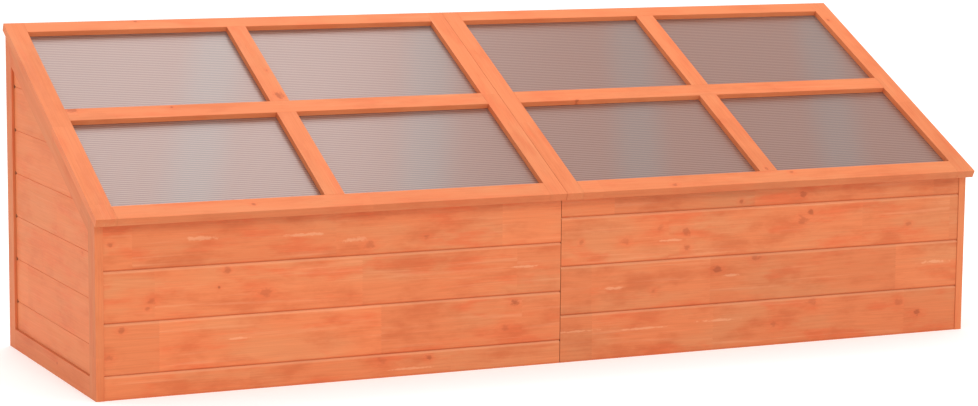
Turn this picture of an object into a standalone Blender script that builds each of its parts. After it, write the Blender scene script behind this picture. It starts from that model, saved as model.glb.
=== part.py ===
"""Cold frame: a low, open-bottomed growing box of tongue-and-groove boards with two glazed lids side by side.

Metres, +Z up, +X along the box, +Y towards its back. The origin is on the ground under the middle of the box.
Depths are measured back from the front faces of the posts, and heights from the ground.
"""
import math

import bpy
import bmesh

# Driving dimensions
TOTAL_LENGTH = 1.800            # across both lids
BODY_DEPTH = 0.5545             # front face of the front posts to back face of the rear posts
SLOPE = math.radians(27.0)      # of the lids
LID_DEPTH = 0.647               # along the slope
LID_THICKNESS = 0.015
LID_FRONT_HEIGHT = 0.322        # top front edge of the lids
LID_FRONT_OVERHANG = 0.024
LID_SIDE_OVERHANG = 0.004
LID_SEAM = 0.0006               # between the two lids

# Lid members and glazing
MEMBER_WIDTH = 0.038
INNER_STILE_WIDTH = 0.034
TOP_RAIL_WIDTH = 0.033
MIDDLE_RAIL_CENTRE = 0.328      # up the slope from the lid's front edge
PANE_THICKNESS = 0.004
PANE_LAP = 0.0075               # how far a pane reaches into its members
RECESS_LAP = 0.008
RECESS_HEIGHT = 0.0046          # the glazing recess is open at the underside of the lid

# Body members
BATTEN_THICKNESS = 0.015
BOARD_THICKNESS = 0.012
BOARD_SETBACK = 0.0015          # front and back boards behind the faces of the posts
SIDE_BOARD_THICKNESS = 0.010
SIDE_BOARD_RECESS = 0.005       # side boards behind the outer faces of their battens
CORNER_BATTEN = (0.020, 0.038)  # along X, along Y
CENTRE_POST = (0.060, 0.018)
RAFTER_WIDTH = 0.040
RAFTER_HEIGHT = 0.034

# Boards
BOARD_FACE = 0.092
FRONT_LEFT_FIRST_JOINT = 0.043  # the left front panel starts with a cut-down board
FRONT_RIGHT_FIRST_JOINT = 0.089
BOARDS_PER_PANEL = 4
SIDE_BOARD_FACE = 0.0815
SIDE_FIRST_JOINT = 0.0925
BACK_FIRST_JOINT = 0.092
V_GROOVE = 0.0025               # depth of the V along each board joint
SIDE_V_GROOVE = 0.0010          # the side boards' joints are finer
TONGUE_HEIGHT = 0.005
TONGUE_THICKNESS = 0.0036
SEAM_BETWEEN_PANELS = 0.0012

# Hinges
BARREL_RADIUS = 0.003
PIN_RADIUS = 0.0018
BORE_RADIUS = 0.0019
LEAF_THICKNESS = 0.0012
LEAF_WIDTH = 0.025
HINGE_LENGTH = 0.050
LID_KNUCKLE_LENGTH = 0.020
KNUCKLE_GAP = 0.0005
HINGE_PLACES = (-0.735, -0.165, 0.165, 0.735)

# Props
PROP_LENGTH = 0.290             # pivot to foot
PROP_THICKNESS = 0.010
PROP_WIDTH = 0.016
PROP_HOLE_RADIUS = 0.0026
PROP_PIN_RADIUS = 0.0025
PROP_PLACE = 0.075              # of its pivot, up the slope from the lid's front edge
BRACKET_THICKNESS = 0.0015
BRACKET_LENGTH = 0.020
EAR_REACH = 0.0045              # of the bracket's ears, past the pivot

# Gaps
GAP = 0.0003                    # between pieces that touch
REST_GAP = 0.0008               # between the lids' undersides and the body
LEAF_CLEARANCE = 0.0005         # between the hinge leaves and the back of the body

ROUND_SIDES = 24
MERGE_DISTANCE = 0.00001
EMPTY_SIZE = 0.05

SIN, COS, TAN = math.sin(SLOPE), math.cos(SLOPE), math.tan(SLOPE)
BODY_HALF = TOTAL_LENGTH / 2 - LID_SIDE_OVERHANG
INNER_HALF = BODY_HALF - BATTEN_THICKNESS
FRONT_BOARD_BACK = BOARD_SETBACK + BOARD_THICKNESS
BACK_FACE = BODY_DEPTH - BOARD_SETBACK
BACK_BOARD_FRONT = BACK_FACE - BOARD_THICKNESS


def lid_underside(depth):
    """Height of the lids' underside at a depth behind the front face."""
    return LID_FRONT_HEIGHT + (depth + LID_FRONT_OVERHANG) * TAN - LID_THICKNESS / COS


def body_top(depth, gap=REST_GAP, drop=0.0):
    """Height of a sloping face that lies a gap and a drop, both square to the slope, below the lids."""
    return lid_underside(depth) - (gap + drop) / COS


HINGE_DEPTH = BACK_FACE + GAP + BARREL_RADIUS
LID_BASE = BARREL_RADIUS + GAP  # the lid's underside above its hinge axis, square to the slope
HINGE_HEIGHT = lid_underside(HINGE_DEPTH) - LID_BASE / COS
LEAF_GAP = GAP + LEAF_THICKNESS + LEAF_CLEARANCE
LID_FRONT = -((HINGE_DEPTH + LID_FRONT_OVERHANG) * COS + (HINGE_HEIGHT - LID_FRONT_HEIGHT) * SIN)
LID_BACK = LID_FRONT + LID_DEPTH
BACK_EXTENT = max(HINGE_DEPTH + BARREL_RADIUS, HINGE_DEPTH + LID_BACK * COS - LID_BASE * SIN)
FRONT_Y = (LID_FRONT_OVERHANG - BACK_EXTENT) / 2

FIR_LID = ("fir_lid", (0.93, 0.33, 0.13), 0.6, 0.0)
FIR_BATTEN = ("fir_batten", (0.88, 0.30, 0.13), 0.6, 0.0)
FIR_BOARD = ("fir_board", (0.72, 0.20, 0.08), 0.6, 0.0)
FIR_BARE = ("fir_inner", (0.75, 0.42, 0.22), 0.7, 0.0)
GLAZING = ("twin_wall_sheet", (0.62, 0.52, 0.48), 0.35, 0.0)
STEEL = ("zinc_steel", (0.66, 0.66, 0.64), 0.4, 1.0)


def clear_scene():
    for obj in list(bpy.data.objects):
        bpy.data.objects.remove(obj, do_unlink=True)


def new_collection(name, hidden=False):
    collection = bpy.data.collections.new(name)
    bpy.context.scene.collection.children.link(collection)
    collection.hide_render = hidden
    return collection


def paint(obj, look):
    """Give an object its own material."""
    kind, colour, roughness, metallic = look
    material = bpy.data.materials.new(f"{obj.name}_{kind}")
    material.use_nodes = True
    shader = material.node_tree.nodes["Principled BSDF"]
    shader.inputs["Base Color"].default_value = (*colour, 1.0)
    shader.inputs["Roughness"].default_value = roughness
    shader.inputs["Metallic"].default_value = metallic
    obj.data.materials.append(material)


def box_mesh(name, low, high):
    """A box between two corners, as a mesh whose origin stays at zero."""
    shape = bmesh.new()
    bmesh.ops.create_cube(shape, size=1.0)
    for vertex in shape.verts:
        for axis in range(3):
            middle = (low[axis] + high[axis]) / 2
            vertex.co[axis] = middle + vertex.co[axis] * (high[axis] - low[axis])
    mesh = bpy.data.meshes.new(name)
    shape.to_mesh(mesh)
    shape.free()
    return mesh


def rod_mesh(name, radius, start, end):
    """A cylinder along X, with its axis through the origin."""
    shape = bmesh.new()
    bmesh.ops.create_cone(shape, cap_ends=True, segments=ROUND_SIDES, radius1=radius, radius2=radius,
                          depth=end - start)
    for vertex in shape.verts:
        x, y, z = vertex.co
        vertex.co = (z + (start + end) / 2, x, y)
    mesh = bpy.data.meshes.new(name)
    shape.to_mesh(mesh)
    shape.free()
    return mesh


def outline_mesh(name, points, start, end, along="X"):
    """A flat outline extruded along X or Y. Its points are (y, z), or (x, z) when it is extruded along Y."""
    curve = bpy.data.curves.new(name, "CURVE")
    curve.dimensions = "2D"
    curve.fill_mode = "BOTH"
    curve.extrude = (end - start) / 2
    spline = curve.splines.new("POLY")
    spline.points.add(len(points) - 1)
    for point, (across, up) in zip(spline.points, points):
        point.co = (across, up, 0.0, 1.0)
    spline.use_cyclic_u = True
    flat = bpy.data.objects.new(name, curve)
    bpy.context.scene.collection.objects.link(flat)
    mesh = bpy.data.meshes.new_from_object(flat.evaluated_get(bpy.context.evaluated_depsgraph_get()))
    bpy.data.objects.remove(flat)
    bpy.data.curves.remove(curve)
    shape = bmesh.new()
    shape.from_mesh(mesh)
    bmesh.ops.remove_doubles(shape, verts=shape.verts, dist=MERGE_DISTANCE)
    middle = (start + end) / 2
    for vertex in shape.verts:
        across, up, out = vertex.co
        vertex.co = (middle + out, across, up) if along == "X" else (across, middle - out, up)
    bmesh.ops.recalc_face_normals(shape, faces=shape.faces)
    if shape.calc_volume(signed=True) < 0.0:
        bmesh.ops.reverse_faces(shape, faces=shape.faces)
    shape.to_mesh(mesh)
    shape.free()
    mesh.name = name
    return mesh


def add_object(name, mesh, look, place=(0.0, 0.0, 0.0), parent=None):
    obj = bpy.data.objects.new(name, mesh)
    obj.location = place
    obj.parent = parent
    PARTS.objects.link(obj)
    paint(obj, look)
    return obj


def add_cutter(name, mesh, place=(0.0, 0.0, 0.0), parent=None):
    obj = bpy.data.objects.new(name, mesh)
    obj.location = place
    obj.parent = parent
    obj.display_type = "WIRE"
    obj.hide_render = True
    CUTTERS.objects.link(obj)
    return obj


def combine(obj, other, operation):
    """Join another object to this one, or cut it away."""
    boolean = obj.modifiers.new(f"{operation.lower()}_{other.name}", "BOOLEAN")
    boolean.operation = operation
    boolean.object = other
    boolean.solver = "EXACT"


def add_empty(name, place, tilt=0.0):
    empty = bpy.data.objects.new(name, None)
    empty.empty_display_size = EMPTY_SIZE
    empty.location = place
    empty.rotation_euler = (tilt, 0.0, 0.0)
    PARTS.objects.link(empty)
    return empty


def add_slab(name, profile, start, end, look):
    """A piece with one outline, (depth, height) points, from one X to another."""
    points = [(FRONT_Y + depth, height) for depth, height in profile]
    return add_object(name, outline_mesh(name, points, start, end), look)


def sloped_profile(front, back, bottom, gap=REST_GAP, drop=0.0):
    """An upright profile whose top follows the lids. Its points run counter-clockwise."""
    top_front = body_top(front, gap, drop)
    top_back = body_top(back, gap, drop)
    return [(front, bottom), (back, bottom), (back, top_back), (front, top_front)]


def mirrored(start, end, side):
    """A span of X on the right side, or its mirror on the left side."""
    return (start, end) if side > 0 else (-end, -start)


# Body

def add_side(side_name, side):
    """One side wall: four battens round a panel of boards that sits behind their outer faces."""
    span = mirrored(INNER_HALF, BODY_HALF, side)
    inner_front = MEMBER_WIDTH + GAP
    inner_back = BODY_DEPTH - MEMBER_WIDTH - GAP
    add_slab(f"{side_name}_side_front_post", sloped_profile(0.0, MEMBER_WIDTH, 0.0), *span, FIR_BATTEN)
    add_slab(f"{side_name}_side_rear_post", sloped_profile(BODY_DEPTH - MEMBER_WIDTH, BODY_DEPTH, 0.0),
             *span, FIR_BATTEN)
    bottom = [(inner_front, 0.0), (inner_back, 0.0), (inner_back, MEMBER_WIDTH), (inner_front, MEMBER_WIDTH)]
    add_slab(f"{side_name}_side_bottom_rail", bottom, *span, FIR_BATTEN)
    top = [(inner_front, body_top(inner_front, drop=MEMBER_WIDTH)),
           (inner_back, body_top(inner_back, drop=MEMBER_WIDTH)),
           (inner_back, body_top(inner_back)),
           (inner_front, body_top(inner_front))]
    add_slab(f"{side_name}_side_top_rail", top, *span, FIR_BATTEN)
    add_side_boards(side_name, side, inner_front + GAP, inner_back - GAP)


def add_side_boards(side_name, side, front, back):
    """The side's boards, glued up into one panel with a V groove along each joint of its outer face."""
    outer = BODY_HALF - SIDE_BOARD_RECESS
    inner = outer - SIDE_BOARD_THICKNESS
    bottom = MEMBER_WIDTH + GAP
    highest = body_top(back)
    section = [(inner, highest), (inner, bottom), (outer, bottom)]
    joint = SIDE_FIRST_JOINT
    while joint < highest - SIDE_V_GROOVE:
        section += [(outer, joint - SIDE_V_GROOVE), (outer - SIDE_V_GROOVE, joint),
                    (outer, joint + SIDE_V_GROOVE)]
        joint += SIDE_BOARD_FACE
    section.append((outer, highest))
    section = [(side * across, up) for across, up in section]
    name = f"{side_name}_side_boards"
    boards = add_object(name, outline_mesh(name, section, FRONT_Y + front, FRONT_Y + back, "Y"), FIR_BOARD)
    combine(boards, UNDER_LIDS, "DIFFERENCE")


def board_profile(front, outward, bottom, top, tongue, groove, top_slopes):
    """One tongue-and-groove board on edge. outward is -1 when its show face looks forward, or 1 backward."""
    back = front + BOARD_THICKNESS
    show, hidden = (front, back) if outward < 0 else (back, front)
    middle = (front + back) / 2
    inward = -outward
    tongue_half = TONGUE_THICKNESS / 2
    points = [(hidden, bottom)]
    if groove:
        slot = tongue_half + GAP
        points += [(middle + inward * slot, bottom), (middle + inward * slot, bottom + TONGUE_HEIGHT + GAP),
                   (middle - inward * slot, bottom + TONGUE_HEIGHT + GAP), (middle - inward * slot, bottom),
                   (show + inward * V_GROOVE, bottom), (show, bottom + V_GROOVE)]
    else:
        points.append((show, bottom))
    if top_slopes:
        points += [(show, body_top(show)), (hidden, body_top(hidden))]
    else:
        points += [(show, top - V_GROOVE), (show + inward * V_GROOVE, top)]
        if tongue:
            outer = middle - inward * tongue_half
            inner = middle + inward * tongue_half
            points += [(outer, top), (outer, top + TONGUE_HEIGHT), (inner, top + TONGUE_HEIGHT), (inner, top)]
        points.append((hidden, top))
    return points


def add_front_panel(panel_name, side, first_joint):
    """Four boards, numbered up from the ground. The top one is cut to the slope of the lids."""
    span = mirrored(SEAM_BETWEEN_PANELS / 2, INNER_HALF - GAP, side)
    bottom = 0.0
    for number in range(1, BOARDS_PER_PANEL + 1):
        top = first_joint + (number - 1) * BOARD_FACE
        is_top = number == BOARDS_PER_PANEL
        profile = board_profile(BOARD_SETBACK, -1, bottom, top - GAP, tongue=not is_top,
                                groove=number > 1, top_slopes=is_top)
        add_slab(f"{panel_name}_board_{number}", profile, *span, FIR_BOARD)
        bottom = top


def add_back_panel(panel_name, side):
    """The back's boards, glued up into one panel with a V groove along each joint of its outer face."""
    span = mirrored(SEAM_BETWEEN_PANELS / 2, INNER_HALF - GAP, side)
    top_front = body_top(BACK_BOARD_FRONT, LEAF_GAP)
    top_back = body_top(BACK_FACE, LEAF_GAP)
    profile = [(BACK_BOARD_FRONT, top_front), (BACK_BOARD_FRONT, 0.0), (BACK_FACE, 0.0)]
    joint = BACK_FIRST_JOINT
    while joint < top_back - BOARD_FACE / 4:
        profile += [(BACK_FACE, joint - V_GROOVE), (BACK_FACE - V_GROOVE, joint),
                    (BACK_FACE, joint + V_GROOVE)]
        joint += BOARD_FACE
    profile.append((BACK_FACE, top_back))
    add_slab(panel_name, profile, *span, FIR_BOARD)


def add_inner_framing():
    """The framing inside the box: four corner battens, two middle posts, the back rail and the rafter."""
    along_x, along_y = CORNER_BATTEN
    corner_outer = INNER_HALF - GAP
    front = FRONT_BOARD_BACK + GAP
    back = BACK_BOARD_FRONT - GAP
    for side_name, side in (("left", -1), ("right", 1)):
        span = mirrored(corner_outer - along_x, corner_outer, side)
        add_slab(f"front_{side_name}_corner_batten", sloped_profile(front, front + along_y, 0.0),
                 *span, FIR_BARE)
        add_slab(f"back_{side_name}_corner_batten",
                 sloped_profile(back - along_y, back, 0.0, LEAF_GAP), *span, FIR_BARE)

    rail_half = corner_outer - along_x - GAP
    rail_front = back - BATTEN_THICKNESS
    rail_bottom = body_top(rail_front, LEAF_GAP) - MEMBER_WIDTH
    add_slab("back_rail", sloped_profile(rail_front, back, rail_bottom, LEAF_GAP), -rail_half, rail_half,
             FIR_BARE)

    post_width, post_depth = CENTRE_POST
    post_span = (-post_width / 2, post_width / 2)
    rafter_drop = RAFTER_HEIGHT + GAP
    add_slab("front_centre_post", sloped_profile(front, front + post_depth, 0.0, drop=rafter_drop),
             *post_span, FIR_BARE)
    post_top = min(rail_bottom, body_top(back - post_depth, drop=RAFTER_HEIGHT)) - GAP
    post = [(back - post_depth, 0.0), (back, 0.0), (back, post_top), (back - post_depth, post_top)]
    add_slab("back_centre_post", post, *post_span, FIR_BARE)
    rafter_back = rail_front - GAP
    rafter = [(front, body_top(front, drop=RAFTER_HEIGHT)),
              (rafter_back, body_top(rafter_back, drop=RAFTER_HEIGHT)),
              (rafter_back, body_top(rafter_back)),
              (front, body_top(front))]
    add_slab("centre_rafter", rafter, -RAFTER_WIDTH / 2, RAFTER_WIDTH / 2, FIR_BARE)


# Lids, in the frame of their hinge axis: Y runs up the slope and Z square to it

def add_lid(side_name, side):
    pivot = add_empty(f"{side_name}_lid_axis", (0.0, FRONT_Y + HINGE_DEPTH, HINGE_HEIGHT), SLOPE)
    outer_edge = TOTAL_LENGTH / 2
    inner_edge = LID_SEAM / 2
    bay_outer = outer_edge - MEMBER_WIDTH
    bay_inner = inner_edge + INNER_STILE_WIDTH
    bar_centre = (bay_outer + bay_inner) / 2
    bar = (bar_centre - MEMBER_WIDTH / 2, bar_centre + MEMBER_WIDTH / 2)
    bottom_rail = (LID_FRONT, LID_FRONT + MEMBER_WIDTH)
    middle = LID_FRONT + MIDDLE_RAIL_CENTRE
    middle_rail = (middle - MEMBER_WIDTH / 2, middle + MEMBER_WIDTH / 2)
    top_rail = (LID_BACK - TOP_RAIL_WIDTH, LID_BACK)
    top = LID_BASE + LID_THICKNESS
    half_height = LID_BASE + LID_THICKNESS / 2

    across = [(bay_inner, bar[0]), (bar[1], bay_outer)]
    upward = [(bottom_rail[1], middle_rail[0]), (middle_rail[1], top_rail[0])]
    bays = [(x_span, y_span) for y_span in upward for x_span in across]
    recess = add_pane_recesses(side_name, side, bays, pivot)

    def member(piece, x_span, y_span):
        start, end = mirrored(*x_span, side)
        name = f"{side_name}_lid_{piece}"
        mesh = box_mesh(name, (start, y_span[0], LID_BASE), (end, y_span[1], top))
        obj = add_object(name, mesh, FIR_LID, parent=pivot)
        combine(obj, recess, "DIFFERENCE")
        return obj

    rail_span = (bay_inner + GAP, bay_outer - GAP)
    member("outer_stile", (bay_outer, outer_edge), (LID_FRONT, LID_BACK))
    member("inner_stile", (inner_edge, bay_inner), (LID_FRONT, LID_BACK))
    member("bottom_rail", rail_span, bottom_rail)
    member("top_rail", rail_span, top_rail)
    crossing_rail = member("middle_rail", rail_span, middle_rail)
    glazing_bar = member("glazing_bar", bar, (bottom_rail[1] + GAP, top_rail[0] - GAP))

    start, end = mirrored(*bar, side)
    under = box_mesh("lap", (start - GAP, middle_rail[0] - GAP, LID_BASE - GAP),
                     (end + GAP, middle_rail[1] + GAP, half_height + GAP / 2))
    over = box_mesh("lap", (start - GAP, middle_rail[0] - GAP, half_height - GAP / 2),
                    (end + GAP, middle_rail[1] + GAP, top + GAP))
    combine(crossing_rail, add_cutter(f"{side_name}_lap_under_rail", under, parent=pivot), "DIFFERENCE")
    combine(glazing_bar, add_cutter(f"{side_name}_lap_over_bar", over, parent=pivot), "DIFFERENCE")

    for number, (x_span, y_span) in enumerate(bays, 1):
        start, end = mirrored(*x_span, side)
        name = f"{side_name}_lid_pane_{number}"
        mesh = box_mesh(name, (start - PANE_LAP, y_span[0] - PANE_LAP, LID_BASE + GAP),
                        (end + PANE_LAP, y_span[1] + PANE_LAP, LID_BASE + GAP + PANE_THICKNESS))
        add_object(name, mesh, GLAZING, parent=pivot)
    add_prop(side_name, side * bar_centre, pivot)
    return pivot


def add_pane_recesses(side_name, side, bays, pivot):
    """One cutter with a box for each pane, which leaves a recess round the underside of each opening."""
    shape = bmesh.new()
    for x_span, y_span in bays:
        start, end = mirrored(*x_span, side)
        box = box_mesh("recess", (start - RECESS_LAP, y_span[0] - RECESS_LAP, LID_BASE - RECESS_HEIGHT),
                       (end + RECESS_LAP, y_span[1] + RECESS_LAP, LID_BASE + RECESS_HEIGHT))
        shape.from_mesh(box)
        bpy.data.meshes.remove(box)
    mesh = bpy.data.meshes.new(f"{side_name}_pane_recesses")
    shape.to_mesh(mesh)
    shape.free()
    return add_cutter(f"{side_name}_pane_recesses", mesh, parent=pivot)


# Hinges and props

def baked_mesh(obj):
    """The mesh that an object's modifiers make. The object itself is removed."""
    bpy.context.view_layer.update()
    mesh = bpy.data.meshes.new_from_object(obj.evaluated_get(bpy.context.evaluated_depsgraph_get()))
    bpy.data.objects.remove(obj)
    return mesh


def leaf_mesh(name, own_spans, other_spans, core, core_operation):
    """A hinge leaf whose plate lies flat at the top of the barrel and runs forward from it.

    The plate reaches the barrel at the leaf's own knuckles and stays clear of the other leaf's.
    """
    half = HINGE_LENGTH / 2
    plate = box_mesh(name, (-half, -LEAF_WIDTH, BARREL_RADIUS - LEAF_THICKNESS), (half, 0.0, BARREL_RADIUS))
    leaf = add_cutter(name, plate)
    for number, (start, end) in enumerate(other_spans, 1):
        notch = box_mesh(f"{name}_notch", (start, -BARREL_RADIUS - GAP, -BARREL_RADIUS),
                         (end, BARREL_RADIUS, 2 * BARREL_RADIUS))
        combine(leaf, add_cutter(f"{name}_notch_{number}", notch), "DIFFERENCE")
    for number, (start, end) in enumerate(own_spans, 1):
        knuckle = rod_mesh(f"{name}_knuckle", BARREL_RADIUS, start, end)
        combine(leaf, add_cutter(f"{name}_knuckle_{number}", knuckle), "UNION")
    combine(leaf, core, core_operation)
    mesh = baked_mesh(leaf)
    mesh.name = name
    mesh.materials.clear()
    return mesh


def add_hinges(lid_pivots):
    """Butt hinges with one leaf on the outside of the back and the other under a lid.

    The pin is riveted into the fixed leaf's knuckles, so the two are one solid.
    """
    middle = LID_KNUCKLE_LENGTH / 2
    outer = HINGE_LENGTH / 2
    inner_reach = middle + KNUCKLE_GAP
    lid_spans = [(-middle, middle)]
    fixed_spans = [(-outer, -inner_reach), (inner_reach, outer)]
    lid_notches = [(-outer - GAP, -middle), (middle, outer + GAP)]
    fixed_notches = [(-inner_reach, inner_reach)]
    bore = add_cutter("hinge_bore", rod_mesh("hinge_bore", BORE_RADIUS, -outer, outer))
    pin = add_cutter("hinge_pin", rod_mesh("hinge_pin", PIN_RADIUS, -outer, outer))
    lid_leaf = leaf_mesh("hinge_lid_leaf", lid_spans, lid_notches, bore, "DIFFERENCE")
    fixed_leaf = leaf_mesh("hinge_fixed_leaf", fixed_spans, fixed_notches, pin, "UNION")
    for number, x in enumerate(HINGE_PLACES, 1):
        pivot = lid_pivots["left" if x < 0 else "right"]
        add_object(f"hinge_{number}_lid_leaf", lid_leaf.copy(), STEEL, (x, 0.0, 0.0), pivot)
        fixed = add_object(f"hinge_{number}_fixed_leaf", fixed_leaf.copy(), STEEL,
                           (x, FRONT_Y + HINGE_DEPTH, HINGE_HEIGHT))
        fixed.rotation_euler = (math.pi / 2, 0.0, 0.0)


def add_prop(side_name, x, pivot):
    """A wooden prop that folds up under the lid's glazing bar, on the pin of a steel bracket."""
    end_radius = PROP_THICKNESS / 2
    plate_top = LID_BASE - GAP
    plate_bottom = plate_top - BRACKET_THICKNESS
    pin_height = plate_bottom - GAP - end_radius
    ear_inner = PROP_WIDTH / 2 + GAP
    ear_outer = ear_inner + BRACKET_THICKNESS
    ear_bottom = pin_height - EAR_REACH
    place = LID_FRONT + PROP_PLACE

    channel = [(x - ear_outer, ear_bottom), (x - ear_inner, ear_bottom), (x - ear_inner, plate_bottom),
               (x + ear_inner, plate_bottom), (x + ear_inner, ear_bottom), (x + ear_outer, ear_bottom),
               (x + ear_outer, plate_top), (x - ear_outer, plate_top)]
    name = f"{side_name}_prop_bracket"
    bracket = add_object(name, outline_mesh(name, channel, place - BRACKET_LENGTH / 2,
                                            place + BRACKET_LENGTH / 2, "Y"), STEEL, parent=pivot)
    pin_end = ear_outer + BRACKET_THICKNESS / 2
    pin = rod_mesh("prop_pin", PROP_PIN_RADIUS, x - pin_end, x + pin_end)
    combine(bracket, add_cutter(f"{side_name}_prop_pin", pin, (0.0, place, pin_height), pivot), "UNION")

    steps = ROUND_SIDES // 2
    turns = [math.pi / 2 + math.pi * step / steps for step in range(steps + 1)]
    outline = [(end_radius * math.cos(turn), end_radius * math.sin(turn)) for turn in turns]
    outline += [(PROP_LENGTH, -end_radius), (PROP_LENGTH, end_radius)]
    name = f"{side_name}_prop"
    mesh = outline_mesh(name, outline, -PROP_WIDTH / 2, PROP_WIDTH / 2)
    prop = add_object(name, mesh, FIR_BARE, (x, place, pin_height), pivot)
    hole = rod_mesh("prop_hole", PROP_HOLE_RADIUS, -PROP_WIDTH, PROP_WIDTH)
    combine(prop, add_cutter(f"{side_name}_prop_hole", hole, parent=prop), "DIFFERENCE")


clear_scene()
PARTS = new_collection("cold_frame")
CUTTERS = new_collection("cutters", hidden=True)
SLOPE_FRAME = add_empty("slope_frame", (0.0, FRONT_Y + HINGE_DEPTH, HINGE_HEIGHT), SLOPE)
UNDER_TOP_RAILS = LID_BASE - REST_GAP - MEMBER_WIDTH - 2 * GAP
UNDER_LIDS = add_cutter("space_over_side_boards",
                        box_mesh("space", (-TOTAL_LENGTH, -TOTAL_LENGTH, UNDER_TOP_RAILS),
                                 (TOTAL_LENGTH, TOTAL_LENGTH, TOTAL_LENGTH)), parent=SLOPE_FRAME)
for wall_side, sign in (("left", -1), ("right", 1)):
    add_side(wall_side, sign)
add_front_panel("front_left", -1, FRONT_LEFT_FIRST_JOINT)
add_front_panel("front_right", 1, FRONT_RIGHT_FIRST_JOINT)
add_back_panel("back_left_boards", -1)
add_back_panel("back_right_boards", 1)
add_inner_framing()
lids = {"left": add_lid("left", -1), "right": add_lid("right", 1)}
add_hinges(lids)
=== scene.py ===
"""Looks of the cold frame: orange-stained fir, twin-wall sheets and zinc-plated steel on the CAD model."""
import math
import random

import bmesh
import bpy
from mathutils import Matrix, Vector


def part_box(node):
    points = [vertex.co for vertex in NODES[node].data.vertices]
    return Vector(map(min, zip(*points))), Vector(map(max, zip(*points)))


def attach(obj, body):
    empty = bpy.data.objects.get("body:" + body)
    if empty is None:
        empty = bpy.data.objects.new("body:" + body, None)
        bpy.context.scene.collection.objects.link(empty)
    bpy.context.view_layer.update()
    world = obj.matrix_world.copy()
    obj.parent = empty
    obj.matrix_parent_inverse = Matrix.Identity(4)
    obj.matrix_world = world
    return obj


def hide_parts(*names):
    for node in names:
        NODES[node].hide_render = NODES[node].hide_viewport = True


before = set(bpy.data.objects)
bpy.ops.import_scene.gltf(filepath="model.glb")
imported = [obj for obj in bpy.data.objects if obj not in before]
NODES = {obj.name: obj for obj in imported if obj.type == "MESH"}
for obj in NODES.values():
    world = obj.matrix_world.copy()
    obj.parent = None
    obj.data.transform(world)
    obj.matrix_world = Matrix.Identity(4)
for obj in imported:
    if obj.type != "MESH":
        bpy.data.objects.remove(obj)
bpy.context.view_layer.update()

# The lids' slope, and directions along and off it
SLOPE = math.radians(27.0)
ACROSS = Vector((1.0, 0.0, 0.0))
DEEP = Vector((0.0, 1.0, 0.0))
UPRIGHT = Vector((0.0, 0.0, 1.0))
UP_SLOPE = Vector((0.0, math.cos(SLOPE), math.sin(SLOPE)))
OFF_SLOPE = Vector((0.0, -math.sin(SLOPE), math.cos(SLOPE)))

# Camera
CAMERA_PLACE = Vector((-2.27902, -4.81055, 1.02217))
CAMERA_YAW = math.radians(25.119)
CAMERA_PITCH = math.radians(8.087)
CAMERA_ROLL = math.radians(0.510)
CAMERA_LENS = 102.083
CAMERA_SENSOR = 36.0

# Light and floor
SKY_LOW = 0.84                  # brightness of the sky at the horizon
SKY_HIGH = 1.00                 # and at the height SKY_TOP of its unit sphere
SKY_TOP = 0.8
KEY_STRENGTH = 0.65
KEY_ANGLE = math.radians(16.0)
KEY_DIRECTION = Vector((0.03, -0.78, 0.62))
SOFTBOX_PLACE = Vector((0.02, 1.2, 2.7))
SOFTBOX_SIZE = (1.9, 1.4)
SOFTBOX_POWER = 23.0
FLOOR_REACH = 40.0
FLOOR_GREY = 0.93
FLOOR_GLOW = 0.20               # whitens the floor round the box, as a lit studio floor does

# Stained fir, as linear colours. The deep and pale stains also make the painted shade and painted highlight
# at the board joints
STAIN = (0.745, 0.213, 0.078)
DEEP_STAIN_AND_SHADE = (0.58, 0.122, 0.037)
PALE_STAIN_AND_HIGHLIGHT = (0.86, 0.38, 0.195)
STAIN_BROWN = (0.69, 0.245, 0.098)
STAIN_RED = (0.74, 0.150, 0.050)
KNOT = (0.34, 0.072, 0.026)
# painted shade in the hollows where the side boards' joints meet the rear post
PIT_SHADE = (0.075, 0.018, 0.007)

# Brightness and contrast of the fir
TONE_LID = 1.0
TONE_BODY = 0.94
TONE_BATTEN = 0.90
# painted light: the side walls are made brighter, as the key lamp does not reach them
SIDE_PAINTED_LIGHT_TONE = 1.01
TONE_FRONT_RIGHT = 0.875
LID_CONTRAST = 0.55             # of the stain's blotches, over the boards' contrast
SIDE_CONTRAST = 0.55
BATTEN_CONTRAST = 0.6
LENGTH_TONES = 0.10             # range of brightness from one joined length to another
FIBRE_TONES = 0.26              # and from fibre to fibre
END_SHADE = 0.20                # how much darker end grain is
PAINTED_FRONT_EDGE_SHADE = 0.22         # and the painted shade on the lids' front edges

# Patterns in the fir, per metre along and across the grain
BROWN_PATTERNS = (4.0, 14.0)
RED_PATTERNS = (7.0, 26.0)
BLOTCH_PATTERNS = (9.0, 22.0)
STREAK_PATTERNS = (3.0, 75.0)
PALE_PATTERNS = (4.0, 110.0)
FIBRE_PATTERNS = (9.0, 700.0)
RING_PATTERNS = (2.6, 6.0)
WOBBLE_PATTERNS = (70.0, 110.0)

# How a tint follows its pattern: the noise it starts at, the noise it is full at, and its share there
BROWN_FADE = (0.45, 0.66, 0.75)
RED_FADE = (0.50, 0.68, 0.75)
BLOTCH_FADE = (0.44, 0.72, 0.62)
STREAK_FADE = (0.45, 0.85, 0.26)
PALE_FADE = (0.56, 0.74, 0.24)
LATE_WOOD_FADE = (0.0, 1.0, 0.09)
PALE_STREAK_FADE = (0.0, 1.0, 0.55)
HALO_FADE = (0.0, 1.0, 0.42)
KNOT_FADE = (0.0, 1.0, 0.66)
PIT_SHADE_FADE = (0.0, 0.6, 0.92)

# Finish of the fir
FIR_ROUGHNESS = 0.55
STREAK_ROUGHNESS = 0.2          # how much rougher the streaks are
FIR_SHINE = 0.22
GRAIN_BUMP = 0.35
GRAIN_DEPTH = 0.0002

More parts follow.
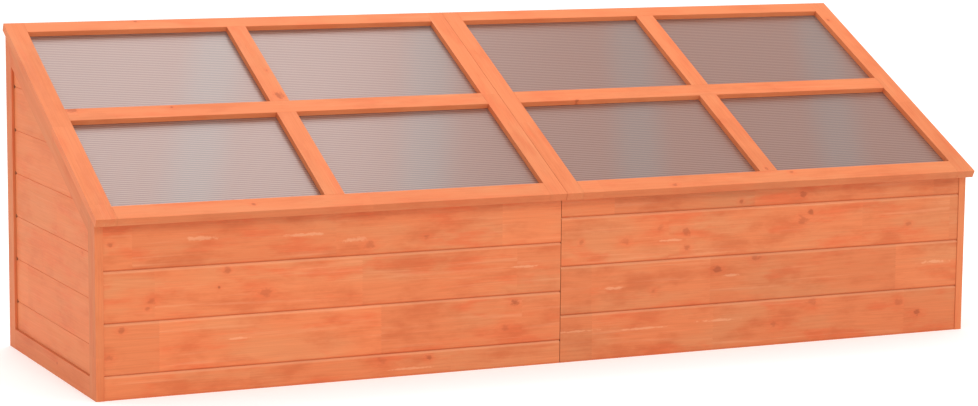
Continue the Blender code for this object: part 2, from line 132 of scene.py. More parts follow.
# Growth rings
RING_SPACING = 0.0055
LATE_RISE = (0.2, 0.85)         # parts of a ring over which its late wood comes in
LATE_FALL = (1.0, 0.88)         # and goes out
RING_DRIFT = 0.05               # how far the rings wander from true circles
PITH_SPREAD = 0.11              # of the pith's place across a board
PITH_DEPTH = (0.030, 0.055)     # of the pith under a board's middle

# Lengths joined end to end
BOARD_LENGTH = 0.30
LID_LENGTH = 0.34
BATTEN_LENGTH = 0.9
FINGER = 0.002                  # of the zigzag where lengths of timber are joined
WANDER = 0.07                   # how far a joint's place strays
WANDER_TURNS = (5.0, 8.0)       # how fast it strays, in radians per metre
LENGTH_STEP = 9.0               # how far the noise moves on from length to length, at most

# Boards joined side by side, and board edges
BOARD_PHASE = 0.137             # how far the joints of one board lie from the next board's
BOARD_STEP = 7.3                # how far the noise moves on from board to board
BOARD_CELLS = 31.0              # and how far the chances do
SIDE_JOINTS = (0.0925, 0.0815)  # lowest board joint of a side wall, and the spacing of the joints
BACK_JOINTS = (0.092, 0.092)
PIT_SHADE_SIZE = (0.0075, 0.0034)     # of the painted shade in the hollow where a joint meets the rear post, along and across
JOINT_LIGHT_STRIP = 0.006              # width of the painted highlight along a board's upper edge, and of the painted shade along its lower edge
JOINT_LIGHT_SHARE = 0.60
TONGUE = 0.005                  # height of the tongue over a board's upper edge
EASED_EDGE = 0.0004

# Knots and streaks
KNOT_STRETCH = 1.35             # a knot's length along the grain, over its height
KNOT_BEND = 1.3                 # how far a knot pushes the rings aside, over its size
MARK_WOBBLE = 3.0
MARK_CORE = (1.35, 0.35)        # distances where a mark's core starts and is full, over its size
HALO_FALL = -0.22
NARROW = 0.05                   # timber narrower than this has fewer and smaller knots
KNOT_SPACING = 0.20
KNOT_SPACING_NARROW = 0.40
KNOT_SIZES = (0.003, 0.007)
KNOT_SIZES_NARROW = (0.0018, 0.0035)
KNOT_STRENGTHS = (0.3, 0.7)
KNOT_MARGIN = 0.008             # from a piece's long edges
KNOT_END_MARGIN = 0.02

# Knots that show on the front boards: place along the box, height, half height, strength
FRONT_KNOTS = (
    (-0.868, 0.274, 0.0040, 0.60), (-0.384, 0.245, 0.0070, 0.50), (-0.273, 0.254, 0.0045, 0.70),
    (-0.794, 0.171, 0.0060, 0.50), (-0.802, 0.157, 0.0040, 0.50), (-0.670, 0.187, 0.0025, 1.00),
    (-0.656, 0.217, 0.0060, 0.60), (-0.584, 0.173, 0.0080, 0.50), (-0.873, 0.075, 0.0060, 0.50),
    (-0.849, 0.121, 0.0050, 0.60), (-0.114, 0.077, 0.0070, 0.45), (-0.094, 0.121, 0.0060, 0.80),
    (-0.357, 0.030, 0.0090, 0.40), (-0.265, 0.029, 0.0050, 0.70), (0.385, 0.284, 0.0040, 0.70),
    (0.522, 0.290, 0.0070, 0.70), (0.043, 0.225, 0.0040, 0.50), (0.134, 0.221, 0.0060, 0.40),
    (0.208, 0.242, 0.0070, 0.40), (0.266, 0.233, 0.0070, 0.60), (0.266, 0.201, 0.0060, 0.60),
    (0.523, 0.241, 0.0090, 0.55), (0.541, 0.256, 0.0050, 0.80), (0.765, 0.221, 0.0050, 0.50),
    (0.196, 0.122, 0.0050, 0.50), (0.333, 0.155, 0.0070, 0.80), (0.417, 0.175, 0.0080, 0.55),
    (0.461, 0.039, 0.0070, 0.50), (0.547, 0.079, 0.0090, 0.45), (0.747, 0.065, 0.0070, 0.50),
    (0.791, 0.042, 0.0060, 0.80),
)
# Pale streaks on the front boards: place along the box, height, half length, half height
FRONT_STREAKS = (
    (-0.705, 0.276, 0.026, 0.0040), (-0.512, 0.271, 0.034, 0.0030), (-0.416, 0.256, 0.028, 0.0045),
    (-0.077, 0.187, 0.040, 0.0022), (-0.638, 0.093, 0.030, 0.0018), (-0.304, 0.013, 0.050, 0.0020),
    (0.114, 0.134, 0.024, 0.0030), (0.234, 0.218, 0.030, 0.0020), (0.362, 0.143, 0.018, 0.0030),
    (0.826, 0.141, 0.030, 0.0030), (0.339, 0.057, 0.040, 0.0028), (0.031, 0.057, 0.040, 0.0020),
    (0.180, 0.053, 0.050, 0.0018),
)
# Knots that show on the lids: place along the box, place up the slope, half height, strength
LID_KNOTS = (
    (-0.444, 0.253, 0.0080, 0.8), (-0.468, -0.050, 0.0065, 0.7), (-0.438, 0.341, 0.0030, 0.6),
    (-0.662, 0.226, 0.0028, 0.9), (-0.850, 0.230, 0.0085, 0.7), (-0.644, 0.528, 0.0030, 0.8),
    (0.874, 0.464, 0.0035, 0.7), (0.229, -0.105, 0.0040, 0.6), (0.495, -0.083, 0.0040, 0.6),
    (-0.608, -0.092, 0.0035, 0.7), (0.156, 0.196, 0.0035, 0.7), (0.448, -0.067, 0.0035, 0.6),
)
# Knots that show on the side walls: place from front to back, height, half height, strength
SIDE_KNOTS = (
    (-0.115, 0.342, 0.0050, 0.5), (-0.194, 0.311, 0.0040, 0.4), (0.045, 0.444, 0.0045, 0.4),
    (-0.179, 0.249, 0.0040, 0.4),
)

# Glazing
FLUTE = 0.006
FLUTE_STEPS = 6
SCALLOP = 0.00002               # how far the skin sinks between two webs
WEB_EDGE = (0.30, 0.48)         # where a web's line starts and is full, in flutes from the middle of one
PANE = (0.278, 0.124, 0.086)
PANE_WEB = (0.52, 0.335, 0.275)
# painted shadows of the lids' bars on the back wall, seen through the sheets
PANE_PAINTED_SHADOW = (0.235, 0.172, 0.152)
SHADE_PLACE = -0.240            # along the box, of one painted shadow of a lid bar, at zero on the way up the slope
SHADE_SPACING = 0.4475
SHADE_SLANT = 0.4177            # how far the painted shadows lean along the box, over the way up the slope
SHADE_EDGE = (0.085, 0.01)      # distances from a painted shadow's middle where it starts and is full
SHADE_SHARE = 0.85
PANE_COVER = 0.62               # share of the light that one skin stops
PANE_ROUGHNESS = 0.34
PANE_INDEX = 1.58

# Steel
ZINC_DULL = (0.48, 0.48, 0.46)
ZINC_BRIGHT = (0.72, 0.72, 0.70)
ZINC_PATTERNS = 220.0           # of the zinc's clouding, per metre
ZINC_ROUGHNESS = (0.28, 0.2)    # of the dull parts, and how much rougher the bright ones are

# Hinge screws
HINGE_PLACES = (-0.735, -0.165, 0.165, 0.735)
HINGE_AXIS = Vector((0.0, 0.28865, 0.597139))
LEAF_SHOW_FACE = 0.0018         # how far a leaf's face with the screws lies behind the hinge axis
SCREW_SPOTS = ((-0.017, 0.013), (0.0, 0.019), (0.017, 0.013))   # along a leaf, and away from the axis
SCREW_RADIUS = 0.0028
SCREW_RISE = 0.00035
SCREW_SIDES = 24
CROSS_REACH = 0.0016
CROSS_HALF_WIDTH = 0.0003
CROSS_FLOOR = 0.1               # height of the recess's floor, over the head's rise


# Node helpers

class Value:
    """A number in a material's node tree, which adds and multiplies as a Python number does."""

    def __init__(self, tree, socket):
        self.tree = tree
        self.socket = socket

    def math(self, operation, *others):
        return math_node(self.tree, operation, self, *others)

    def __add__(self, other):
        return self.math("ADD", other)

    def __sub__(self, other):
        return self.math("SUBTRACT", other)

    def __rsub__(self, other):
        return math_node(self.tree, "SUBTRACT", other, self)

    def __mul__(self, other):
        return self.math("MULTIPLY", other)

    def __truediv__(self, other):
        return self.math("DIVIDE", other)


def feed(tree, socket, value):
    """Link a value or another node's socket to a socket, or set the socket."""
    if isinstance(value, Value):
        value = value.socket
    if isinstance(value, bpy.types.NodeSocket):
        tree.links.new(value, socket)
    elif socket.type == "RGBA" and len(value) == 3:
        socket.default_value = (*value, 1.0)
    else:
        socket.default_value = value


def add_node(tree, kind, inputs=(), **settings):
    node = tree.nodes.new(kind)
    for name, value in settings.items():
        setattr(node, name, value)
    for key, value in dict(inputs).items():
        feed(tree, node.inputs[key], value)
    return node


def math_node(tree, operation, *values):
    node = add_node(tree, "ShaderNodeMath", dict(enumerate(values)), operation=operation)
    return Value(tree, node.outputs[0])


def smooth_step(tree, value, low, high):
    inputs = {0: value, 1: low, 2: high, 3: 0.0, 4: 1.0}
    node = add_node(tree, "ShaderNodeMapRange", inputs, interpolation_type="SMOOTHSTEP")
    return Value(tree, node.outputs[0])


def mix_colours(tree, factor, first, second, blend="MIX"):
    node = add_node(tree, "ShaderNodeMix", data_type="RGBA", blend_type=blend)
    for socket, value in zip((node.inputs[0], node.inputs[6], node.inputs[7]), (factor, first, second)):
        feed(tree, socket, value)
    return node.outputs[2]


def tinted(tree, colour, factor, fade, tint, contrast=1.0):
    """A colour mixed with a tint, where a factor passes through the fade's range."""
    low, high, share = fade
    return mix_colours(tree, smooth_step(tree, factor, low, high) * (share * contrast), colour, tint)


def combine_xyz(tree, x, y, z):
    return add_node(tree, "ShaderNodeCombineXYZ", {0: x, 1: y, 2: z}).outputs[0]


def noise(tree, vector, detail=3.0, roughness=0.5):
    inputs = {"Vector": vector, "Scale": 1.0, "Detail": detail, "Roughness": roughness}
    return Value(tree, add_node(tree, "ShaderNodeTexNoise", inputs, noise_dimensions="3D").outputs[0])


def along(tree, position, direction):
    """How far a position lies along a direction."""
    inputs = {0: position, 1: tuple(direction)}
    node = add_node(tree, "ShaderNodeVectorMath", inputs, operation="DOT_PRODUCT")
    return Value(tree, node.outputs["Value"])


def new_material(name):
    material = bpy.data.materials.new(name)
    material.use_nodes = True
    return material, material.node_tree, material.node_tree.nodes["Principled BSDF"]


# Mesh helpers

def span(node, direction):
    """Lowest and highest place of a CAD node along a direction."""
    places = [vertex.co.dot(direction) for vertex in NODES[node].data.vertices]
    return min(places), max(places)


def join_loops(shape, first, second):
    """Faces between two closed loops with the same number of vertices."""
    for index in range(len(first)):
        following = (index + 1) % len(first)
        shape.faces.new((first[index], first[following], second[following], second[index]))


def add_object(name, shape, material):
    """A new object in the scene from a bmesh, with one material."""
    mesh = bpy.data.meshes.new(name)
    shape.to_mesh(mesh)
    shape.free()
    mesh.materials.append(material)
    made = bpy.data.objects.new(name, mesh)
    bpy.context.scene.collection.objects.link(made)
    return made


# Stained fir

def mark_group():
    """The core and the halo of one knot or streak, from a position along and across the grain."""
    group = bpy.data.node_groups.new("fir_mark", "ShaderNodeTree")
    names = ("Along", "Across", "Place Along", "Place Across", "Length", "Height", "Wobble")
    for name in names:
        group.interface.new_socket(name, in_out="INPUT", socket_type="NodeSocketFloat")
    for name in ("Core", "Halo"):
        group.interface.new_socket(name, in_out="OUTPUT", socket_type="NodeSocketFloat")
    given = group.nodes.new("NodeGroupInput").outputs
    u, v, place_u, place_v, length, height, wobble = (Value(group, given[name]) for name in names)
    away = (u - place_u) / length
    beside = (v - place_v) / height
    distance = (away * away + beside * beside).math("SQRT") + wobble
    result = group.nodes.new("NodeGroupOutput").inputs
    feed(group, result["Core"], smooth_step(group, distance, *MARK_CORE))
    feed(group, result["Halo"], (distance * distance * HALO_FALL).math("EXPONENT"))
    return group


MARK_GROUP = mark_group()


def add_mark(tree, u, v, wobble, place, size):
    """A mark at a place, with half its length and half its height."""
    mark = tree.nodes.new("ShaderNodeGroup")
    mark.node_tree = MARK_GROUP
    for socket, value in zip(mark.inputs, (u, v, *place, *size, wobble)):
        feed(tree, socket, value)
    return Value(tree, mark.outputs["Core"]), Value(tree, mark.outputs["Halo"])


class Timber:
    """The material of one piece of timber. u runs along the grain, v across the show face, w through it."""

    def __init__(self, tree, grain, face, centre, seed):
        self.tree = tree
        self.seed = seed
        self.chance = random.Random(seed)
        self.datum = centre.dot(face)
        through = grain.cross(face)
        coordinates = add_node(tree, "ShaderNodeTexCoord").outputs
        self.normal = coordinates["Normal"]
        self.u = along(tree, coordinates["Object"], grain)
        self.v = along(tree, coordinates["Object"], face) - self.datum
        self.w = along(tree, coordinates["Object"], through) - centre.dot(through)
        self.u_in_length = self.u
        self.board = 0.0
        self.beside_joint = 0.0

    def split_boards(self, first_joint, spacing):
        """Number the boards of a glued-up panel, and measure across the grain from the nearest joint."""
        steps = (self.v - (first_joint - self.datum)) / spacing
        self.board = steps.math("FLOOR") + 2.0
        self.beside_joint = (steps - steps.math("ROUND")) * spacing

    def join_lengths(self, length):
        """Joins lengths end to end, each with its own part of the noise and two chances of its own."""
        zigzag = self.v.math("PINGPONG", FINGER)
        wander = (self.u * self.chance.uniform(*WANDER_TURNS)).math("SINE") * WANDER
        stepped = self.u + zigzag + wander + self.board * BOARD_PHASE + self.chance.uniform(0.0, length)
        cell = (stepped / length).math("FLOOR") + self.board * BOARD_CELLS + self.chance.uniform(0.0, 900.0)
        dice = add_node(self.tree, "ShaderNodeTexWhiteNoise", {"W": cell}, noise_dimensions="1D")
        parts = add_node(self.tree, "ShaderNodeSeparateColor", {0: dice.outputs["Color"]}).outputs
        shift, pith_chance, tone_chance = (Value(self.tree, part) for part in parts)
        self.u_in_length = self.u + shift * LENGTH_STEP
        return pith_chance, tone_chance

    def field(self, patterns, shift=0.0, detail=3.0, roughness=0.6, whole=False):
        """Noise stretched along the grain. A whole field runs on through the joined lengths."""
        lengthwise, crosswise = patterns
        u = self.u if whole else self.u_in_length
        depth = self.w * crosswise + (self.board * BOARD_STEP + shift)
        vector = combine_xyz(self.tree, u * lengthwise, self.v * crosswise, depth)
        return noise(self.tree, vector, detail, roughness)

    def place_marks(self, knots, streaks):
        """The knots' cores and halos, the streaks, and how far the knots bend the rings."""
        wobble = (self.field(WOBBLE_PATTERNS) - 0.5) * MARK_WOBBLE
        core, halo, pale, bend = 0.0, 0.0, 0.0, 0.0
        for place_u, place_v, size, strength in knots:
            place = (place_u, place_v - self.datum)
            mark = add_mark(self.tree, self.u, self.v, wobble, place, (size * KNOT_STRETCH, size))
            core = (mark[0] * strength).math("MAXIMUM", core)
            halo = mark[1].math("MAXIMUM", halo)
            bend = mark[1] * (size * KNOT_BEND) + bend
        for place_u, place_v, *half_size in streaks:
            place = (place_u, place_v - self.datum)
            mark = add_mark(self.tree, self.u, self.v, wobble, place, half_size)
            pale = mark[0].math("MAXIMUM", pale)
        return core, halo, pale, bend

    def late_wood(self, pith_chance, bend):
        """The dark part of each ring. The rings lie round a pith behind the timber, which wanders."""
        slow = self.field(RING_PATTERNS, self.seed * 1.7, detail=2.0, roughness=0.5)
        beside = self.v - (pith_chance - 0.5) * PITH_SPREAD
        below = self.w + self.chance.uniform(*PITH_DEPTH)
        radius = (beside * beside + below * below).math("SQRT") + slow * RING_DRIFT + bend
        ring = (radius / RING_SPACING).math("FRACT")
        return smooth_step(self.tree, ring, *LATE_RISE) * smooth_step(self.tree, ring, *LATE_FALL)

    def stain(self, streak, late, contrast):
        """The stain with its brown, red and deep blotches, streaks, rings and pale lines."""
        brown = self.field(BROWN_PATTERNS, self.seed * 1.3 + 40.0, roughness=0.55, whole=True)
        red = self.field(RED_PATTERNS, self.seed * 0.7 + 80.0, detail=4.0, whole=True)
        blotch = self.field(BLOTCH_PATTERNS, self.seed * 0.9, detail=4.0, whole=True)
        pale = self.field(PALE_PATTERNS, self.seed * 2.3)
        colour = tinted(self.tree, STAIN, brown, BROWN_FADE, STAIN_BROWN, contrast)
        colour = tinted(self.tree, colour, red, RED_FADE, STAIN_RED, contrast)
        colour = tinted(self.tree, colour, blotch, BLOTCH_FADE, DEEP_STAIN_AND_SHADE, contrast)
        colour = tinted(self.tree, colour, streak, STREAK_FADE, DEEP_STAIN_AND_SHADE, contrast)
        colour = tinted(self.tree, colour, late, LATE_WOOD_FADE, DEEP_STAIN_AND_SHADE, contrast)
        return tinted(self.tree, colour, pale, PALE_FADE, PALE_STAIN_AND_HIGHLIGHT, contrast)

    def paint_joint_light(self, colour, lower, upper):
        """Painted shade in a strip along a board's lower edge, and a painted highlight along its upper edge,
        where the joints' chamfers lose and catch light.
        """
        above = self.v - (lower - self.datum)
        colour = tinted(self.tree, colour, above, (JOINT_LIGHT_STRIP, 0.0, JOINT_LIGHT_SHARE), DEEP_STAIN_AND_SHADE)
        below_top = (upper - self.datum) - self.v
        return tinted(self.tree, colour, below_top, (JOINT_LIGHT_STRIP, 0.001, JOINT_LIGHT_SHARE), PALE_STAIN_AND_HIGHLIGHT)

    def paint_pit_shade(self, colour, place):
        """Painted shade in the hollows where the joints between boards end, at a place along the grain."""
        pit_shade, _ = add_mark(self.tree, self.u, self.beside_joint, 0.0, (place, 0.0), PIT_SHADE_SIZE)
        return tinted(self.tree, colour, pit_shade, PIT_SHADE_FADE, PIT_SHADE)

    def shade(self, tone_chance, fibre, tone, contrast, darker_ends_and_painted_edges):
        """Brightness of each length and fibre, of the darker end grain, and of the painted shade on faces
        such as the lids' front edges.
        """
        shade = tone_chance * (LENGTH_TONES * contrast) + (tone - LENGTH_TONES / 2 * contrast)
        shade = shade + (fibre - 0.5) * FIBRE_TONES
        for direction, share in darker_ends_and_painted_edges:
            facing = along(self.tree, self.normal, direction).math("ABSOLUTE")
            shade = shade * (1.0 - facing * share)
        return combine_xyz(self.tree, shade, shade, shade)


def fir_material(name, grain, face, centre, seed, marks, length=BOARD_LENGTH, contrast=1.0, tone=1.0,
                 edges=None, joints=None, pit_shade_at=None, painted_edge_shade=0.0):
    """Orange-stained fir. grain and face are directions along the grain and across the show face."""
    material, tree, shader = new_material(name)
    timber = Timber(tree, grain, face, centre, seed)
    if joints is not None:
        timber.split_boards(*joints)
    pith_chance, tone_chance = timber.join_lengths(length)
    core, halo, pale_streak, bend = timber.place_marks(*marks)
    late = timber.late_wood(pith_chance, bend)
    streak = timber.field(STREAK_PATTERNS)
    fibre = timber.field(FIBRE_PATTERNS, roughness=0.65)
    colour = timber.stain(streak, late, contrast)
    colour = tinted(tree, colour, pale_streak, PALE_STREAK_FADE, PALE_STAIN_AND_HIGHLIGHT)
    colour = tinted(tree, colour, halo, HALO_FADE, STAIN_RED)
    colour = tinted(tree, colour, core, KNOT_FADE, KNOT)
    # Painted highlight along a board's upper edge and painted shade along its lower edge, beside the joints
    if edges is not None:
        colour = timber.paint_joint_light(colour, *edges)
    # Painted shade in the hollows where the joints end at the rear post
    if pit_shade_at is not None:
        colour = timber.paint_pit_shade(colour, pit_shade_at)
    # End grain is darker, and faces across the show face get painted shade
    shade = timber.shade(tone_chance, fibre, tone, contrast, ((grain, END_SHADE), (face, painted_edge_shade)))
    height = fibre * 0.5 + late * 0.5
    bump = {"Height": height, "Strength": GRAIN_BUMP, "Distance": GRAIN_DEPTH}
    feed(tree, shader.inputs["Base Color"], mix_colours(tree, 1.0, colour, shade, "MULTIPLY"))
    feed(tree, shader.inputs["Roughness"], streak * STREAK_ROUGHNESS + FIR_ROUGHNESS)
    feed(tree, shader.inputs["Normal"], add_node(tree, "ShaderNodeBump", bump).outputs[0])
    shader.inputs["Specular IOR Level"].default_value = FIR_SHINE
    return material


# Which way each piece of timber runs, and its marks

def grain_of(node):
    """Directions along the grain and across the show face of a CAD node."""
    if "_lid_" in node:
        lengthwise = any(part in node for part in ("stile", "glazing_bar"))
        return (UP_SLOPE, ACROSS) if lengthwise else (ACROSS, UP_SLOPE)
    if node.endswith("_prop") or node == "centre_rafter":
        return UP_SLOPE, ACROSS
    if "_side_" in node:
        if "post" in node:
            return UPRIGHT, DEEP
        return (UP_SLOPE, OFF_SLOPE) if "top_rail" in node else (DEEP, UPRIGHT)
    if "batten" in node or "post" in node:
        return UPRIGHT, ACROSS
    return ACROSS, UPRIGHT


def chance_marks(node, grain, face, seed):
    """A few knots at seeded places, and no streaks."""
    chance = random.Random(seed * 7 + 3)
    low_along, high_along = span(node, grain)
    low_across, high_across = span(node, face)
    narrow = high_across - low_across < NARROW
    spacing = KNOT_SPACING_NARROW if narrow else KNOT_SPACING
    sizes = KNOT_SIZES_NARROW if narrow else KNOT_SIZES
    knots = []
    place = low_along + chance.uniform(0.2, 1.0) * spacing
    while place < high_along - KNOT_END_MARGIN:
        size = chance.uniform(*sizes)
        place_across = chance.uniform(low_across + KNOT_MARGIN, high_across - KNOT_MARGIN)
        knots.append((place, place_across, size, chance.uniform(*KNOT_STRENGTHS)))
        place += chance.uniform(0.5, 1.6) * spacing
    return knots, []


def listed_marks(node, grain, level, high, knots, streaks):
    """The listed marks that lie on a piece. Their places are along the directions level and high."""
    low_level, high_level = span(node, level)
    low_high, high_high = span(node, high)
    found = [[mark for mark in marks
              if low_level < mark[0] < high_level and low_high < mark[1] < high_high]
             for marks in (knots, streaks)]
    if grain == level:
        return found
    return [[(place_high, place_level, *rest) for place_level, place_high, *rest in marks]
            for marks in found]


def front_edges(node):
    """Heights of a front board's lower and upper edges, without its tongue."""
    low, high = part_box(node)
    return low[2], high[2] - TONGUE


def dress_timber(node, seed):
    """Stain one piece of timber and ease its edges."""
    grain, face = grain_of(node)
    vertices = NODES[node].data.vertices
    centre = sum((vertex.co for vertex in vertices), Vector()) / len(vertices)
    if node.startswith("front_") and "_board_" in node:
        marks = listed_marks(node, grain, ACROSS, UPRIGHT, FRONT_KNOTS, FRONT_STREAKS)
        tone = TONE_FRONT_RIGHT if "right" in node else TONE_BODY
        # The front boards get a painted highlight and painted shade along their edges
        look = {"tone": tone, "edges": front_edges(node)}
    elif "_lid_" in node:
        marks = listed_marks(node, grain, ACROSS, UP_SLOPE, LID_KNOTS, ())
        # The lids' bottom rails get painted shade on their front and back edges
        painted_edge_shade = PAINTED_FRONT_EDGE_SHADE if "bottom_rail" in node else 0.0
        look = {"tone": TONE_LID, "length": LID_LENGTH, "contrast": LID_CONTRAST, "painted_edge_shade": painted_edge_shade}
    elif node.endswith("_side_boards"):
        marks = listed_marks(node, grain, DEEP, UPRIGHT, SIDE_KNOTS, ())
        # The side boards get painted shade in the hollows at the rear ends of their joints
        rear_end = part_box(node)[1][1]
        # The side boards' tone holds painted light
        look = {"tone": SIDE_PAINTED_LIGHT_TONE, "length": BATTEN_LENGTH, "contrast": SIDE_CONTRAST,
                "joints": SIDE_JOINTS, "pit_shade_at": rear_end}
    elif node.endswith("_boards"):
        marks = chance_marks(node, grain, face, seed)
        look = {"tone": TONE_BODY, "joints": BACK_JOINTS}
    else:
        marks = chance_marks(node, grain, face, seed)
        look = {"tone": TONE_BATTEN, "length": BATTEN_LENGTH, "contrast": BATTEN_CONTRAST}
    dress(node, fir_material(f"{node}_fir", grain, face, centre, seed, marks, **look))
    bevel = NODES[node].modifiers.new("eased_edges", "BEVEL")
    bevel.width = EASED_EDGE
    bevel.segments = 2
    bevel.limit_method = "ANGLE"


def dress(node, material):
    """Give a CAD node one material."""
    NODES[node].data.materials.clear()
    NODES[node].data.materials.append(material)


# Glazing

def glazing_material():
    """Twin-wall sheet: a pale line at each web, and soft painted shadows of the lids' bars on the back wall,
    seen through the sheets, that lean across them.
    """
    material, tree, shader = new_material("twin_wall_sheet")
    position = add_node(tree, "ShaderNodeTexCoord").outputs["Object"]
    up = along(tree, position, UP_SLOPE)
    leaning = along(tree, position, ACROSS) - up * SHADE_SLANT
    off_middle = ((up / FLUTE).math("FRACT") - 0.5).math("ABSOLUTE")
    web = smooth_step(tree, off_middle, *WEB_EDGE)
    # Painted shadows of the lids' bars on the back wall, as seen through the sheets
    beside_shade = (leaning - SHADE_PLACE).math("PINGPONG", SHADE_SPACING / 2)
    shade = smooth_step(tree, beside_shade, *SHADE_EDGE)
    colour = mix_colours(tree, shade * SHADE_SHARE, PANE, PANE_PAINTED_SHADOW)
    feed(tree, shader.inputs["Base Color"], mix_colours(tree, web, colour, PANE_WEB))
    shader.inputs["Alpha"].default_value = PANE_COVER
    shader.inputs["Roughness"].default_value = PANE_ROUGHNESS
    shader.inputs["IOR"].default_value = PANE_INDEX
    shader.inputs["Specular IOR Level"].default_value = 1.0
    return material


def glazing_sheet(node, body):
    """A twin-wall sheet whose skins sink a little between the webs."""
    low_x, high_x = span(node, ACROSS)
    low_up, high_up = span(node, UP_SLOPE)
    low_off, high_off = span(node, OFF_SLOPE)
    steps = FLUTE_STEPS * round((high_up - low_up) / FLUTE)
    shape = bmesh.new()
    rows = []
    for step in range(steps + 1):
        up = low_up + (high_up - low_up) * step / steps
        sink = SCALLOP * math.sin(math.pi * up / FLUTE) ** 2
        low, high = low_off + sink, high_off - sink
        rows.append([shape.verts.new(ACROSS * x + UP_SLOPE * up + OFF_SLOPE * off)
                     for x, off in ((low_x, low), (high_x, low), (high_x, high), (low_x, high))])
    for first, second in zip(rows, rows[1:]):
        join_loops(shape, first, second)
    shape.faces.new(rows[0][::-1])
    shape.faces.new(rows[-1])
    bmesh.ops.recalc_face_normals(shape, faces=shape.faces)
    sheet = add_object(f"{node}_sheet", shape, GLAZING)
    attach(sheet, body)
    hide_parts(node)


# Steel

def steel_material():
    """Zinc-plated steel with faint clouding."""
    material, tree, shader = new_material("zinc_plated_steel")
    position = add_node(tree, "ShaderNodeTexCoord").outputs["Object"]
    scaling = {0: position, "Scale": ZINC_PATTERNS}
    scaled = add_node(tree, "ShaderNodeVectorMath", scaling, operation="SCALE").outputs[0]
    cloud = noise(tree, scaled, 4.0, 0.6)
    feed(tree, shader.inputs["Base Color"], mix_colours(tree, cloud, ZINC_DULL, ZINC_BRIGHT))
    smooth, rougher = ZINC_ROUGHNESS
    feed(tree, shader.inputs["Roughness"], cloud * rougher + smooth)
    shader.inputs["Metallic"].default_value = 1.0
    return material


def screw_ring(shape, place, level, up):
    """A circle of vertices round the middle of a screw head."""
    turns = [math.tau * step / SCREW_SIDES for step in range(SCREW_SIDES)]
    return [shape.verts.new(place + level * math.cos(turn) + up * math.sin(turn)) for turn in turns]


def screw_cross(shape, place, level, up):
    """The outline of a cross recess."""
    corners = []
    for arm, beside in ((level, up), (up, -level), (-level, -up), (-up, level)):
        corners += [arm * CROSS_REACH - beside * CROSS_HALF_WIDTH,
                    arm * CROSS_REACH + beside * CROSS_HALF_WIDTH,
                    (arm + beside) * CROSS_HALF_WIDTH]
    return [shape.verts.new(place + corner) for corner in corners]


def add_screw_head(shape, place, level, up, out):
    """A low domed head with a cross recess. level and up lie in its plate, out points away from it."""
    rings = [screw_ring(shape, place + out * SCREW_RISE * rise, level * radius, up * radius)
             for radius, rise in ((SCREW_RADIUS, 0.0), (SCREW_RADIUS * 0.93, 0.7), (SCREW_RADIUS * 0.7, 1.0))]
    crosses = [screw_cross(shape, place + out * SCREW_RISE * rise, level, up) for rise in (1.0, CROSS_FLOOR)]
    for first, second in (rings[:2], rings[1:], crosses):
        join_loops(shape, first, second)
    shape.faces.new(rings[0])
    shape.faces.new(crosses[1])
    edges = [shape.edges.get((loop[index - 1], loop[index]))
             for loop in (rings[2], crosses[0]) for index in range(len(loop))]
    bmesh.ops.triangle_fill(shape, use_beauty=True, edges=edges, normal=out)


def hinge_screws(node, body, x, up, out):
    """The screw heads of one hinge leaf. up points along the leaf's plate from its edge to the axis."""
    shape = bmesh.new()
    for beside, away in SCREW_SPOTS:
        place = HINGE_AXIS + ACROSS * (x + beside) - up * away - out * LEAF_SHOW_FACE
        add_screw_head(shape, place, ACROSS, up, out)
    bmesh.ops.recalc_face_normals(shape, faces=shape.faces)
    screws = add_object(f"{node}_screws", shape, STEEL)
    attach(screws, body)


# Studio

def add_floor():
    """A pale floor that glows a little."""
    material, _, shader = new_material("pale_floor")
    shader.inputs["Base Color"].default_value = (FLOOR_GREY, FLOOR_GREY, FLOOR_GREY, 1.0)
    shader.inputs["Roughness"].default_value = 0.9
    shader.inputs["Specular IOR Level"].default_value = 0.0
    shader.inputs["Emission Color"].default_value = (1.0, 1.0, 1.0, 1.0)
    shader.inputs["Emission Strength"].default_value = FLOOR_GLOW
    shape = bmesh.new()
    bmesh.ops.create_grid(shape, x_segments=1, y_segments=1, size=FLOOR_REACH)
    floor = add_object("floor", shape, material)


def add_sky():
    """White light from all round, a little stronger from above."""
    world = bpy.data.worlds.new("studio")
    world.use_nodes = True
    tree = world.node_tree
    direction = add_node(tree, "ShaderNodeTexCoord").outputs["Generated"]
    height = add_node(tree, "ShaderNodeSeparateXYZ", {0: direction}).outputs[2]
    rise = {0: height, 1: 0.0, 2: SKY_TOP, 3: SKY_LOW, 4: SKY_HIGH}
    background = tree.nodes["Background"]
    feed(tree, background.inputs["Strength"], add_node(tree, "ShaderNodeMapRange", rise).outputs[0])
    background.inputs["Color"].default_value = (1.0, 1.0, 1.0, 1.0)
    bpy.context.scene.world = world


def add_key_light():
    light = bpy.data.lights.new("key", "SUN")
    light.energy = KEY_STRENGTH
    light.angle = KEY_ANGLE
    key = bpy.data.objects.new("key", light)
    key.rotation_euler = KEY_DIRECTION.to_track_quat("Z", "Y").to_euler()
    bpy.context.scene.collection.objects.link(key)


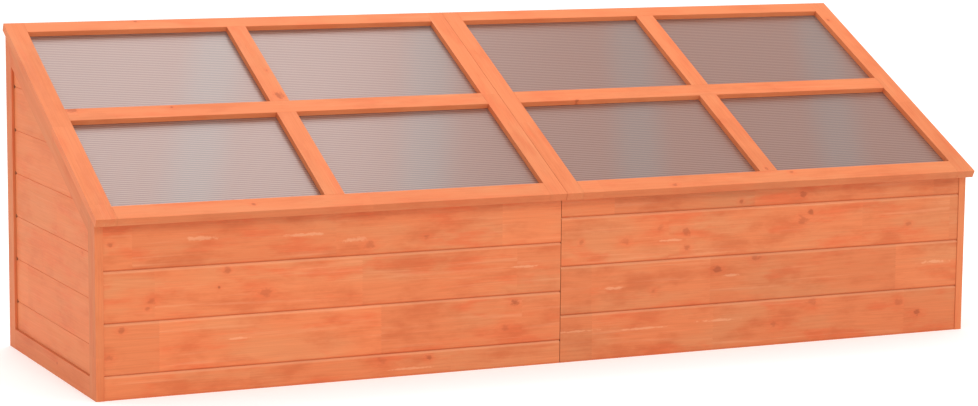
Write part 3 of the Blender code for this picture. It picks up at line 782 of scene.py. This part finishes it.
def add_softbox():
    """A large lamp above the back, whose reflection whitens the left lid's sheets."""
    light = bpy.data.lights.new("softbox", "AREA")
    light.shape = "RECTANGLE"
    light.size, light.size_y = SOFTBOX_SIZE
    light.energy = SOFTBOX_POWER
    softbox = bpy.data.objects.new("softbox", light)
    softbox.location = SOFTBOX_PLACE
    softbox.rotation_euler = SOFTBOX_PLACE.to_track_quat("Z", "Y").to_euler()
    bpy.context.scene.collection.objects.link(softbox)


def add_camera():
    """A camera turned by yaw, then pitch, then roll, from a view along the depth of the box."""
    forward = Vector((math.sin(CAMERA_YAW) * math.cos(CAMERA_PITCH),
                      math.cos(CAMERA_YAW) * math.cos(CAMERA_PITCH), -math.sin(CAMERA_PITCH)))
    level = Vector((math.cos(CAMERA_YAW), -math.sin(CAMERA_YAW), 0.0))
    upward = level.cross(forward)
    right = level * math.cos(CAMERA_ROLL) + upward * math.sin(CAMERA_ROLL)
    up = upward * math.cos(CAMERA_ROLL) - level * math.sin(CAMERA_ROLL)
    data = bpy.data.cameras.new("camera")
    data.lens = CAMERA_LENS
    data.sensor_width = CAMERA_SENSOR
    camera = bpy.data.objects.new("camera", data)
    turn = Matrix((right, up, -forward)).transposed().to_4x4()
    camera.matrix_world = Matrix.Translation(CAMERA_PLACE) @ turn
    bpy.context.scene.collection.objects.link(camera)
    bpy.context.scene.camera = camera


GLAZING = glazing_material()
STEEL = steel_material()

for number, name in enumerate(sorted(NODES)):
    if "pane" in name:
        glazing_sheet(name, f"{name.split('_')[0]}_lid")
    elif "hinge" in name or "bracket" in name:
        dress(name, STEEL)
    else:
        dress_timber(name, number)

for number, place in enumerate(HINGE_PLACES, 1):
    lid = "left_lid" if place < 0.0 else "right_lid"
    hinge_screws(f"hinge_{number}_fixed_leaf", "body", place, UPRIGHT, DEEP)
    hinge_screws(f"hinge_{number}_lid_leaf", lid, place, UP_SLOPE, -OFF_SLOPE)

add_floor()
add_sky()
add_key_light()
add_softbox()
add_camera()
bpy.context.scene.view_settings.view_transform = "Standard"
